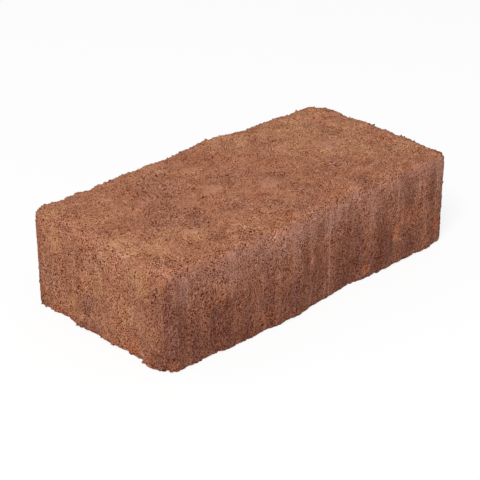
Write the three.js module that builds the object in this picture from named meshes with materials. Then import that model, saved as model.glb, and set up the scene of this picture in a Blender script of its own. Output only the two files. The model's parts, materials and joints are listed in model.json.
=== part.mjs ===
// A concrete paving stone of the 8 by 4 by 2 inch module, cast in one piece, with wavy
// sides like those of hewn stone, a worn upper arris and an uneven wearing face.
//
// Lengths are in millimetres. +X runs along the stone and +Z is up. The origin is the
// middle of the flat bed, the face that the stone is laid on.
//
// The stone is one closed body made of three surfaces that share their edges:
//   - the wall, one section swept round the stone: bed arris, wavy side, upper arris
//   - the wearing face, a grid that fills the wall's upper rim
//   - the bed, a flat face that fills the wall's lower rim

import * as THREE from "three";
import { ParametricGeometry } from "three/addons/geometries/ParametricGeometry.js";
import { mergeGeometries, mergeVertices } from "three/addons/utils/BufferGeometryUtils.js";

// Overall size, over the proudest crests of the sides and the pads of the wearing face.
const LENGTH = 200;
const WIDTH = 103;
const HEIGHT = 52;

// Corners seen from above, and the small arris round the bed.
const CORNER_RADIUS = 9;
const BED_ARRIS = 1.5;

// The sides are upright waves, drawn from the bed to the upper arris. Each side's outline
// is a line of stations, in order anticlockwise round the stone, at its crests and
// hollows. A station has its place, as a share of the side's run from the middle of one
// corner to the middle of the next, its set-back from the overall size at the bed, and the
// size of the worn upper arris there. Towards the upper arris a side's waves flatten to
// the share given with it, about MEAN_SET_BACK.
const MEAN_SET_BACK = 1.5;
const FRONT_WAVES_AT_RIM = 0.85;
const RIGHT_WAVES_AT_RIM = 1.0;
const BACK_WAVES_AT_RIM = 1.0;
const LEFT_WAVES_AT_RIM = 0.4;
const FRONT = [
  { place: 0.05, setBack: 3.2, arris: 6.5 },
  { place: 0.14, setBack: 3.0, arris: 5.0 },
  { place: 0.17, setBack: 1.3, arris: 5.0 },
  { place: 0.27, setBack: 1.0, arris: 4.5 },
  { place: 0.3, setBack: 1.8, arris: 5.0 },
  { place: 0.34, setBack: 0.3, arris: 5.5 },
  { place: 0.42, setBack: 0.0, arris: 5.0 },
  { place: 0.48, setBack: 1.8, arris: 4.5 },
  { place: 0.53, setBack: 2.5, arris: 4.5 },
  { place: 0.63, setBack: 4.2, arris: 5.5 },
  { place: 0.67, setBack: 2.4, arris: 6.0 },
  { place: 0.75, setBack: 1.8, arris: 5.0 },
  { place: 0.85, setBack: 1.9, arris: 5.0 },
  { place: 0.92, setBack: 1.1, arris: 4.5 },
  { place: 0.96, setBack: 2.5, arris: 6.0 },
];
const RIGHT = [
  { place: 0.06, setBack: 1.6, arris: 5.5 },
  { place: 0.16, setBack: 2.4, arris: 5.5 },
  { place: 0.32, setBack: 0.3, arris: 4.5 },
  { place: 0.36, setBack: 1.8, arris: 6.0 },
  { place: 0.4, setBack: 0.4, arris: 4.5 },
  { place: 0.48, setBack: 0.8, arris: 5.0 },
  { place: 0.63, setBack: 0.0, arris: 4.5 },
  { place: 0.72, setBack: 0.5, arris: 5.0 },
  { place: 0.86, setBack: 0.8, arris: 5.5 },
  { place: 0.91, setBack: 3.0, arris: 8.0 },
];
const BACK = [
  { place: 0.06, setBack: 2.6, arris: 8.0 },
  { place: 0.12, setBack: 3.0, arris: 7.5 },
  { place: 0.15, setBack: 2.0, arris: 6.5 },
  { place: 0.23, setBack: 1.2, arris: 5.5 },
  { place: 0.3, setBack: 2.4, arris: 6.0 },
  { place: 0.34, setBack: 1.4, arris: 4.5 },
  { place: 0.38, setBack: 0.4, arris: 4.0 },
  { place: 0.43, setBack: 0.0, arris: 3.5 },
  { place: 0.5, setBack: 0.9, arris: 4.0 },
  { place: 0.57, setBack: 1.6, arris: 5.0 },
  { place: 0.61, setBack: 1.1, arris: 4.5 },
  { place: 0.68, setBack: 1.9, arris: 5.5 },
  { place: 0.74, setBack: 1.5, arris: 5.0 },
  { place: 0.8, setBack: 1.6, arris: 5.0 },
  { place: 0.83, setBack: 2.7, arris: 6.0 },
  { place: 0.87, setBack: 1.5, arris: 5.0 },
  { place: 0.91, setBack: 2.3, arris: 6.0 },
  { place: 0.95, setBack: 1.5, arris: 5.0 },
];
const LEFT = [
  { place: 0.06, setBack: 1.0, arris: 5.0 },
  { place: 0.11, setBack: 2.0, arris: 5.0 },
  { place: 0.16, setBack: 1.5, arris: 4.5 },
  { place: 0.24, setBack: 2.5, arris: 5.5 },
  { place: 0.38, setBack: 0.1, arris: 4.5 },
  { place: 0.47, setBack: 2.1, arris: 5.0 },
  { place: 0.57, setBack: 0.4, arris: 4.5 },
  { place: 0.7, setBack: 2.5, arris: 5.5 },
  { place: 0.78, setBack: 1.7, arris: 5.0 },
  { place: 0.86, setBack: 0.0, arris: 5.5 },
  { place: 0.95, setBack: 2.2, arris: 6.5 },
];

// The wearing face sinks by up to SWELL_DEPTH in gentle swells. Each swell is a wave with a
// heading in degrees from +X.
const SWELL_DEPTH = 1.5;
const SWELLS = [
  { wavelength: 61, heading: 20, phase: 0.4 },
  { wavelength: 38, heading: 105, phase: 2.1 },
  { wavelength: 27, heading: -35, phase: 4.0 },
  { wavelength: 19, heading: 60, phase: 5.2 },
];

// Pads stand level at the full height between the swells. Their centres are shares of the
// overall length and width.
const PADS = [
  { x: -0.12, y: 0.05, radius: 9 },
  { x: -0.39, y: -0.31, radius: 9 },
  { x: -0.31, y: -0.24, radius: 8 },
  { x: -0.18, y: -0.27, radius: 9 },
  { x: -0.22, y: -0.03, radius: 7 },
  { x: -0.39, y: -0.05, radius: 8 },
  { x: 0.0, y: -0.12, radius: 8 },
  { x: 0.15, y: -0.36, radius: 9 },
  { x: 0.29, y: 0.02, radius: 11 },
  { x: 0.09, y: 0.3, radius: 11 },
  { x: 0.1, y: 0.46, radius: 13 },
];

// Dips are the broad, shallow hollows where coarse grains have come out of the face.
const DIPS = [
  { x: -0.21, y: 0.22, radius: 8, depth: 0.9 },
  { x: -0.16, y: 0.37, radius: 9, depth: 1.0 },
  { x: 0.08, y: -0.08, radius: 7, depth: 1.3 },
  { x: -0.34, y: 0.1, radius: 7, depth: 0.9 },
  { x: -0.14, y: -0.2, radius: 6, depth: 0.8 },
  { x: 0.05, y: -0.34, radius: 8, depth: 0.9 },
  { x: 0.19, y: -0.2, radius: 7, depth: 0.8 },
  { x: 0.18, y: 0.27, radius: 8, depth: 0.9 },
  { x: 0.38, y: 0.25, radius: 8, depth: 1.0 },
];

// Fineness: the size of a facet seen from above, and the rows of facets up the section.
const FACET = 3.4;
const BED_ARRIS_ROWS = 2;
const SIDE_ROWS = 5;
const UPPER_ARRIS_ROWS = 4;
const WELD_TOLERANCE = 0.0001;

const { clamp, lerp, smoothstep, degToRad, euclideanModulo } = THREE.MathUtils;
const QUARTER_TURN = Math.PI / 2;
const EIGHTH_TURN = Math.PI / 4;
const LEAST_RADIUS = 0.5;

// Around the stone, a place is given by one number: the side's number (0 front, 1 right,
// 2 back, 3 left) plus the share of that side's run.
const SIDES = [
  { span: LENGTH, stations: FRONT, wavesAtRim: FRONT_WAVES_AT_RIM },
  { span: WIDTH, stations: RIGHT, wavesAtRim: RIGHT_WAVES_AT_RIM },
  { span: LENGTH, stations: BACK, wavesAtRim: BACK_WAVES_AT_RIM },
  { span: WIDTH, stations: LEFT, wavesAtRim: LEFT_WAVES_AT_RIM },
];
const LENGTH_FACETS = Math.round(LENGTH / FACET);
const WIDTH_FACETS = Math.round(WIDTH / FACET);
const ROUND_FACETS = 2 * (LENGTH_FACETS + WIDTH_FACETS);
const SECTION_ROWS = BED_ARRIS_ROWS + SIDE_ROWS + UPPER_ARRIS_ROWS;

const CORNER_ARC = CORNER_RADIUS * EIGHTH_TURN;
const straightLength = (side) => side.span - 2 * CORNER_RADIUS;
const runLengths = SIDES.map((side) => straightLength(side) + 2 * CORNER_ARC);
const ROUND_LENGTH = runLengths.reduce((sum, run) => sum + run, 0);

const allStations = SIDES.flatMap(({ stations, wavesAtRim }, number) =>
  stations.map(({ place, setBack, arris }) => ({
    at: number + place,
    setBack,
    rimSetBack: lerp(MEAN_SET_BACK, setBack, wavesAtRim),
    arris,
  })),
);

// Splits a place round the stone into the side's number and the share of its run.
function splitPlace(at) {
  const wrapped = euclideanModulo(at, SIDES.length);
  const number = Math.floor(wrapped);
  return { number, share: wrapped - number };
}

// The distance from the start of the front to a place, in the same lap round the stone.
function distanceTo(at) {
  const { number, share } = splitPlace(at);
  const before = runLengths.slice(0, number).reduce((sum, run) => sum + run, 0);
  return before + share * runLengths[number];
}

// The set-backs at the bed and the rim, and the upper arris, at a place between stations.
function outlineAt(at) {
  const next = allStations.findIndex((station) => station.at > at);
  const last = allStations.length - 1;
  const before = next > 0 ? allStations[next - 1] : allStations[last];
  const after = next < 0 ? allStations[0] : allStations[next];
  const gap = euclideanModulo(distanceTo(after.at) - distanceTo(before.at), ROUND_LENGTH);
  const gone = euclideanModulo(distanceTo(at) - distanceTo(before.at), ROUND_LENGTH);
  const eased = smoothstep(gone, 0, gap);
  return {
    setBack: lerp(before.setBack, after.setBack, eased),
    rimSetBack: lerp(before.rimSetBack, after.rimSetBack, eased),
    arris: lerp(before.arris, after.arris, eased),
  };
}

// A point of the plain rounded rectangle, set in from the overall size by inset.
function pointInside(at, inset) {
  const { number, share } = splitPlace(at);
  const straight = straightLength(SIDES[number]);
  const travelled = share * runLengths[number];
  const onStraight = clamp(travelled - CORNER_ARC, 0, straight);
  const onArcs = travelled - CORNER_ARC - onStraight;
  const facing = (number - 1) * QUARTER_TURN;
  const angle = facing + onArcs / CORNER_RADIUS;

  const radius = Math.max(CORNER_RADIUS - inset, LEAST_RADIUS);
  const halfLength = LENGTH / 2 - inset - radius;
  const halfWidth = WIDTH / 2 - inset - radius;
  const reach = number % 2 === 0 ? halfWidth : halfLength;
  const halfRun = number % 2 === 0 ? halfLength : halfWidth;
  const along = lerp(-halfRun, halfRun, onStraight / straight);

  const centre = new THREE.Vector2(reach, along).rotateAround(new THREE.Vector2(), facing);
  const outward = new THREE.Vector2(Math.cos(angle), Math.sin(angle));
  return centre.addScaledVector(outward, radius);
}

// The height of the wearing face over a point of the plan.
function faceHeight(x, y) {
  let waves = 0;
  for (const { wavelength, heading, phase } of SWELLS) {
    const across = x * Math.cos(degToRad(heading)) + y * Math.sin(degToRad(heading));
    waves += Math.sin((2 * Math.PI * across) / wavelength + phase) / SWELLS.length;
  }
  let sunk = (SWELL_DEPTH * (1 + waves)) / 2;
  for (const dip of DIPS) {
    const distance = Math.hypot(x - dip.x * LENGTH, y - dip.y * WIDTH);
    sunk += dip.depth * (1 - smoothstep(distance, 0, dip.radius));
  }
  for (const pad of PADS) {
    const distance = Math.hypot(x - pad.x * LENGTH, y - pad.y * WIDTH);
    sunk *= smoothstep(distance, pad.radius / 2, pad.radius * 1.5);
  }
  return HEIGHT - sunk;
}

// A point of the wall: row counts up the section from the bed to the upper rim.
function wallPoint(at, row) {
  const { setBack, rimSetBack, arris } = outlineAt(at);
  const rim = pointInside(at, rimSetBack + arris);
  const sideTop = faceHeight(rim.x, rim.y) - arris;

  let inset = 0;
  let height;
  if (row <= BED_ARRIS_ROWS) {
    const turn = QUARTER_TURN * (row / BED_ARRIS_ROWS);
    inset = BED_ARRIS * (1 - Math.sin(turn));
    height = BED_ARRIS * (1 - Math.cos(turn));
  } else if (row <= BED_ARRIS_ROWS + SIDE_ROWS) {
    height = lerp(BED_ARRIS, sideTop, (row - BED_ARRIS_ROWS) / SIDE_ROWS);
  } else {
    const turn = QUARTER_TURN * ((row - BED_ARRIS_ROWS - SIDE_ROWS) / UPPER_ARRIS_ROWS);
    inset = arris * (1 - Math.cos(turn));
    height = sideTop + arris * Math.sin(turn);
  }
  const upSide = clamp((height - BED_ARRIS) / (sideTop - BED_ARRIS), 0, 1);
  const setBackHere = lerp(setBack, rimSetBack, upSide);
  const plan = pointInside(at, inset + setBackHere);
  return new THREE.Vector3(plan.x, plan.y, height);
}

// The place reached after a number of facets. Each corner and each station is on a facet's
// edge, and the facets between them are equal.
function placeAfter(facets) {
  const marks = [];
  let facetsBefore = 0;
  SIDES.forEach((side, number) => {
    const facetsOnSide = Math.round(side.span / FACET);
    marks.push({ facet: facetsBefore, at: number });
    for (const { place } of side.stations) {
      marks.push({ facet: facetsBefore + Math.round(place * facetsOnSide), at: number + place });
    }
    facetsBefore += facetsOnSide;
  });
  marks.push({ facet: facetsBefore, at: SIDES.length });
  const end = marks.findIndex((mark) => mark.facet >= facets && mark.facet > 0);
  const [from, to] = [marks[end - 1], marks[end]];
  return lerp(from.at, to.at, (facets - from.facet) / (to.facet - from.facet));
}

// The upper rim as a corner-to-corner curve of each side, with facets counted along it.
function rimPoint(facets) {
  return wallPoint(placeAfter(euclideanModulo(facets, ROUND_FACETS)), SECTION_ROWS);
}

// A point of the wearing face, blended from the four sides of the rim (a Coons patch).
function facePoint(alongLength, alongWidth) {
  const front = rimPoint(alongLength * LENGTH_FACETS);
  const right = rimPoint(LENGTH_FACETS + alongWidth * WIDTH_FACETS);
  const back = rimPoint(2 * LENGTH_FACETS + WIDTH_FACETS - alongLength * LENGTH_FACETS);
  const left = rimPoint(ROUND_FACETS - alongWidth * WIDTH_FACETS);
  const frontCorners = rimPoint(0).lerp(rimPoint(LENGTH_FACETS), alongLength);
  const backStart = rimPoint(2 * LENGTH_FACETS + WIDTH_FACETS);
  const backCorners = backStart.lerp(rimPoint(LENGTH_FACETS + WIDTH_FACETS), alongLength);
  const point = front.lerp(back, alongWidth);
  point.add(left.lerp(right, alongLength));
  point.sub(frontCorners.lerp(backCorners, alongWidth));
  point.z = faceHeight(point.x, point.y);
  return point;
}

function makeWall() {
  const section = (round, up, target) => {
    target.copy(wallPoint(placeAfter(round * ROUND_FACETS), up * SECTION_ROWS));
  };
  return new ParametricGeometry(section, ROUND_FACETS, SECTION_ROWS);
}

function makeWearingFace() {
  const surface = (alongLength, alongWidth, target) => {
    target.copy(facePoint(alongLength, alongWidth));
  };
  return new ParametricGeometry(surface, LENGTH_FACETS, WIDTH_FACETS);
}

// The bed is drawn mirrored and turned over, so that it faces down.
function makeBed() {
  const mirrored = [];
  for (let facet = 0; facet < ROUND_FACETS; facet += 1) {
    const point = wallPoint(placeAfter(facet), 0);
    mirrored.push(new THREE.Vector2(point.x, -point.y));
  }
  return new THREE.ShapeGeometry(new THREE.Shape(mirrored)).rotateX(Math.PI);
}

// Joins the surfaces into one closed body by their positions alone.
function weld(surfaces) {
  for (const surface of surfaces) {
    surface.deleteAttribute("normal");
    surface.deleteAttribute("uv");
  }
  const body = mergeVertices(mergeGeometries(surfaces), WELD_TOLERANCE);
  body.computeVertexNormals();
  return body;
}

const concrete = new THREE.MeshStandardMaterial({
  color: 0x96654f,
  roughness: 0.95,
  metalness: 0,
});

const stone = new THREE.Mesh(weld([makeWall(), makeWearingFace(), makeBed()]), concrete);
stone.name = "paving_stone";

const pavingStone = new THREE.Group();
pavingStone.name = "concrete_paving_stone";
pavingStone.add(stone);

export default pavingStone;
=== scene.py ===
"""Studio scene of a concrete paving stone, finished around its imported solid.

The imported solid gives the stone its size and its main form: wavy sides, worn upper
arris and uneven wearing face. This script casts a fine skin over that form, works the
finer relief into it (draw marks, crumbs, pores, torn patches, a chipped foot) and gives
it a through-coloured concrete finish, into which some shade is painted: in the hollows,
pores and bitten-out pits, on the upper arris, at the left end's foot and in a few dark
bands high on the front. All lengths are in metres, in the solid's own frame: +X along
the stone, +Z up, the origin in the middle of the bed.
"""

from __future__ import annotations

import json
import logging
import math
from dataclasses import dataclass, field
from enum import Enum
from itertools import product
from typing import Iterator

import bmesh
import bpy
import numpy as np
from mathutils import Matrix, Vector
from mathutils.bvhtree import BVHTree
from mathutils.geometry import delaunay_2d_cdt

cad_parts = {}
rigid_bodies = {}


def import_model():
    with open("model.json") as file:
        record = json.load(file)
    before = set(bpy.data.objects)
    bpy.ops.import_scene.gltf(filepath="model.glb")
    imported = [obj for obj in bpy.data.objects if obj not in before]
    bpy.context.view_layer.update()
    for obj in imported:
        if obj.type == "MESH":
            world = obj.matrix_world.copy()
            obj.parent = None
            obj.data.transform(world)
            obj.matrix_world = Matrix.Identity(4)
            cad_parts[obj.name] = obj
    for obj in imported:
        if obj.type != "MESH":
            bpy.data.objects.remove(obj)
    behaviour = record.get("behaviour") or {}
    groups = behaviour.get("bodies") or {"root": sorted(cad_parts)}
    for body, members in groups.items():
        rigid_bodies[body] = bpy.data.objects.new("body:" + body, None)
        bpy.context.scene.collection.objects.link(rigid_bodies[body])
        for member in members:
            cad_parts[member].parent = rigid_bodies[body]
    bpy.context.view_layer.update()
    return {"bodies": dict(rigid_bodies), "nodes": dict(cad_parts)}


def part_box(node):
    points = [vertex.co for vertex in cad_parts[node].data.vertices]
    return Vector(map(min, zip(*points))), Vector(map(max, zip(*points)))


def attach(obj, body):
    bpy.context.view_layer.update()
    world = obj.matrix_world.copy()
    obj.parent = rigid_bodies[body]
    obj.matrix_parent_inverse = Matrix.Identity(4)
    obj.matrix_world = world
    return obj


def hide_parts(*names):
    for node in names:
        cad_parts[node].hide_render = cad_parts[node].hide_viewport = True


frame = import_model()

MM = 0.001
UP = 2
LOG = logging.getLogger("paving_stone")

Colour = tuple[float, float, float]
Span = tuple[float, float]

WHITE: Colour = (1.0, 1.0, 1.0)


def smooth_share(
    value: np.ndarray, low: float | np.ndarray, high: float | np.ndarray
) -> np.ndarray:
    """Ease a value from 0 at low and below to 1 at high and above."""
    share = np.clip((value - low) / (high - low), 0.0, 1.0)
    return share * share * (3.0 - 2.0 * share)


def fading_share(value: np.ndarray, low: float, high: float) -> np.ndarray:
    """Ease a value from 1 at low to 0 at high, as smooth_share does from 0 to 1."""
    return 1.0 - smooth_share(value, low, high)


class Side(Enum):
    """The stone's four sides, numbered anticlockwise from the front."""

    FRONT = 0
    RIGHT = 1
    BACK = 2
    LEFT = 3

    @property
    def facing(self) -> float:
        """The direction that the side faces, as an angle from +X."""
        return (self.value - 1) * math.pi / 2

    @property
    def is_long(self) -> bool:
        """Whether this is one of the two long sides."""
        return self.value % 2 == 0


class Mark(Enum):
    """What the skin notes at each point for the finish, by its name on the mesh."""

    # Painted shade: darkens the skin where it lies below its neighbours.
    HOLLOW = "hollow_shade"
    SIDE = "side"
    SMOOTH = "smooth"
    # Dark pigment over the stone that also carries painted shade: on the upper arris, at the left
    # end's foot, under the front's arris and low on the left end.
    BLOOM = "bloom_and_shade"
    RUST = "rust"
    TAN = "tan"
    PASTE = "paste"
    OPEN = "open"


@dataclass(frozen=True)
class Waviness:
    """One lot of smooth noise.

    Attributes:
        shift: How far its reading is shifted, so that it agrees with no other lot.
        size: The size of its coarsest feature.
        layers: How many ever finer layers are summed.
        draw: How many times longer its features are upright than level.
    """

    shift: float
    size: float
    layers: int = 2
    draw: float = 1.0


class Waves(Enum):
    """The lots of smooth noise that the stone needs."""

    LUMPS = Waviness(0.0, 9.0 * MM)
    RIBS = Waviness(0.0, 5.0 * MM, draw=14.0)
    SCRATCHES = Waviness(0.0, 1.9 * MM, draw=14.0)
    KNOCKS = Waviness(0.0, 5.5 * MM, 3)
    TEARS = Waviness(0.0, 2.6 * MM)
    ROUGH_AREAS = Waviness(0.0, 16 * MM)
    BENT_BANDS = Waviness(0.0, 12 * MM)
    WANDER = Waviness(0.5, 14 * MM, 3, draw=5.0)
    BROKEN_FOOT = Waviness(2.0, 3.6 * MM, 3)
    FAR_TAN = Waviness(3.0, 22 * MM)
    RAGGED_PADS = Waviness(4.0, 5 * MM)
    CHANCE_PADS = Waviness(5.0, 8 * MM)
    LOOSE_SAND = Waviness(6.0, 7 * MM)
    WORN_ARRIS = Waviness(8.0, 9 * MM)
    OPEN_SKIN = Waviness(9.0, 5 * MM)
    STRAY_X = Waviness(12.0, 6 * MM, 3)
    STRAY_Y = Waviness(13.0, 6 * MM, 3)
    STRAY_Z = Waviness(14.0, 6 * MM, 3)


@dataclass(frozen=True)
class PitSizes:
    """Rounded pits scattered through space.

    Attributes:
        shift: How far their reading is shifted, so that they agree with no others.
        pitch: The mean distance between places where a pit may be.
        width: The widest pit's diameter.
        chance: The share of the places that have a pit.
    """

    shift: float
    pitch: float
    width: float
    chance: float


class Pits(Enum):
    """The kinds of pits and, turned outward, of single grains and crumbs."""

    COARSE_PORES = PitSizes(0.0, 4.2 * MM, 2.3 * MM, 0.30)
    FINE_PORES = PitSizes(1.0, 2.4 * MM, 1.7 * MM, 0.45)
    PROUD_GRAINS = PitSizes(7.0, 2.8 * MM, 2.4 * MM, 0.45)
    ARRIS_CRUMBS = PitSizes(10.0, 1.9 * MM, 1.7 * MM, 0.65)
    FOOT_CRUMBS = PitSizes(11.0, 2.2 * MM, 2.0 * MM, 0.6)


class Unevenness:
    """Seeded noise over the skin's points, from which the cast relief is made."""

    TABLE = 256
    LAYER_SHIFT = 17.3
    LOUDNESS = 1.6
    LEAST_PIT = 0.5

    def __init__(self, seed: int, points: np.ndarray) -> None:
        """Draw the tables that all later noise is read from.

        Args:
            seed: Fixes the noise.
            points: The points to read at, one a row.
        """
        self._seed = seed
        self._points = points
        draw = np.random.default_rng(seed)
        self._order = draw.permutation(self.TABLE)
        slopes = draw.normal(size=(self.TABLE, 3))
        self._slopes = slopes / np.linalg.norm(slopes, axis=1, keepdims=True)
        self._spots = draw.random((self.TABLE, 3))
        self._luck = draw.random((self.TABLE, 2))

    def _pick(self, cells: np.ndarray) -> np.ndarray:
        """Give each whole-numbered cell its own entry of the tables.

        Args:
            cells: The cells, one a row.

        Returns:
            The entries' indices.
        """
        x, y, z = (cells % self.TABLE).T
        first = self._order[(self._order[x] + y) % self.TABLE]
        return self._order[(first + z) % self.TABLE]

    def _single(self, points: np.ndarray) -> np.ndarray:
        """Read one layer of gradient noise.

        Args:
            points: The points, in cells of the noise.

        Returns:
            The noise at each point.
        """
        cells = np.floor(points).astype(int)
        inside = points - cells
        eased = inside**3 * (inside * (inside * 6.0 - 15.0) + 10.0)
        total = np.zeros(len(points))
        for corner in product((0, 1), repeat=3):
            step = np.array(corner)
            slope = self._slopes[self._pick(cells + step)]
            weight = np.prod(np.where(step == 1, eased, 1.0 - eased), axis=1)
            total += weight * np.sum(slope * (inside - step), axis=1)
        return total

    def _near_spots(self, shift: float, pitch: float) -> Iterator[tuple[np.ndarray, np.ndarray]]:
        """Go through the spots near each point, one spot a cell.

        Args:
            shift: How far the reading is shifted.
            pitch: The cells' size.

        Yields:
            For each neighbouring cell, its entries in the tables, and the distances to its
            spots in cells.
        """
        scaled = (self._points + shift) / pitch
        cells = np.floor(scaled).astype(int)
        for step in product((-1, 0, 1), repeat=3):
            near = cells + np.array(step)
            entry = self._pick(near)
            yield entry, np.linalg.norm(scaled - near - self._spots[entry], axis=1)

    def waves(self, kind: Waves) -> np.ndarray:
        """Read one lot of smooth noise.

        Args:
            kind: The lot.

        Returns:
            The noise at each point, from about -1 to 1.
        """
        lot = kind.value
        points = self._points * np.array([1.0, 1.0, 1.0 / lot.draw]) + lot.shift
        total = np.zeros(len(points))
        share, reach = 1.0, 0.0
        for layer in range(lot.layers):
            fine = points * (2.0**layer / lot.size) + self.LAYER_SHIFT * layer
            total += share * self._single(fine)
            reach += share
            share /= 2.0
        return total * self.LOUDNESS / reach

    def pits(self, kind: Pits) -> np.ndarray:
        """Read one kind of rounded pits.

        Args:
            kind: The kind.

        Returns:
            How deep each point lies in a pit, from 0 outside to 1 at its middle.
        """
        pit = kind.value
        deepest = np.zeros(len(self._points))
        for entry, away in self._near_spots(pit.shift, pit.pitch):
            width = self.LEAST_PIT + (1.0 - self.LEAST_PIT) * self._luck[entry, 1]
            radius = pit.width / pit.pitch / 2.0 * width
            depth = np.clip(1.0 - (away / radius) ** 2, 0.0, 1.0)
            deepest = np.maximum(deepest, depth * (self._luck[entry, 0] < pit.chance))
        return deepest

    def grains(self, shift: float, pitch: float) -> np.ndarray:
        """Read packed grains with creases between them.

        Args:
            shift: How far the reading is shifted.
            pitch: The mean distance between grains.

        Returns:
            The distance from the nearest grain's middle, as a share of the pitch.
        """
        nearest = np.full(len(self._points), np.inf)
        for _, away in self._near_spots(shift, pitch):
            nearest = np.minimum(nearest, away)
        return nearest

    def specks(self, turn: int) -> np.ndarray:
        """Draw one normally distributed number a point, new for each turn."""
        return np.random.default_rng(self._seed + turn).normal(size=len(self._points))


class CastSolid:
    """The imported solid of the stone, felt out with rays."""

    REACH = 30 * MM

    def __init__(self, node: bpy.types.Object) -> None:
        """Index the solid's faces.

        Args:
            node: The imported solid. Its mesh is only read.
        """
        corners = [vertex.co for vertex in node.data.vertices]
        faces = [tuple(polygon.vertices) for polygon in node.data.polygons]
        self._tree = BVHTree.FromPolygons(corners, faces)

    def touch(self, outside: Vector, inward: Vector) -> Vector:
        """Find where a ray first meets the solid.

        Args:
            outside: A point on or just outside the surface.
            inward: The unit direction into the solid.

        Returns:
            The point met, or the nearest point of the surface where the ray misses.
        """
        start = outside - inward * self.REACH / 3
        met = self._tree.ray_cast(start, inward, self.REACH)[0]
        return met or self._tree.find_nearest(outside)[0]


@dataclass(frozen=True)
class SkinSizes:
    """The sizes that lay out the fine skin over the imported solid.

    The clearances are shares: how many upper arrises below the top a side is felt at,
    and how many bed cells from the foot the bed's own points start.
    """

    length: float
    width: float
    height: float
    cell: float = 0.77 * MM
    corner_radius: float = 9 * MM
    bed_arris: float = 1.5 * MM
    upper_arris: float = 5.5 * MM
    least_radius: float = 0.5 * MM
    bed_cell: float = 2.6 * MM
    head_clearance: float = 1.6
    bed_clearance: float = 1.15


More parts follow.
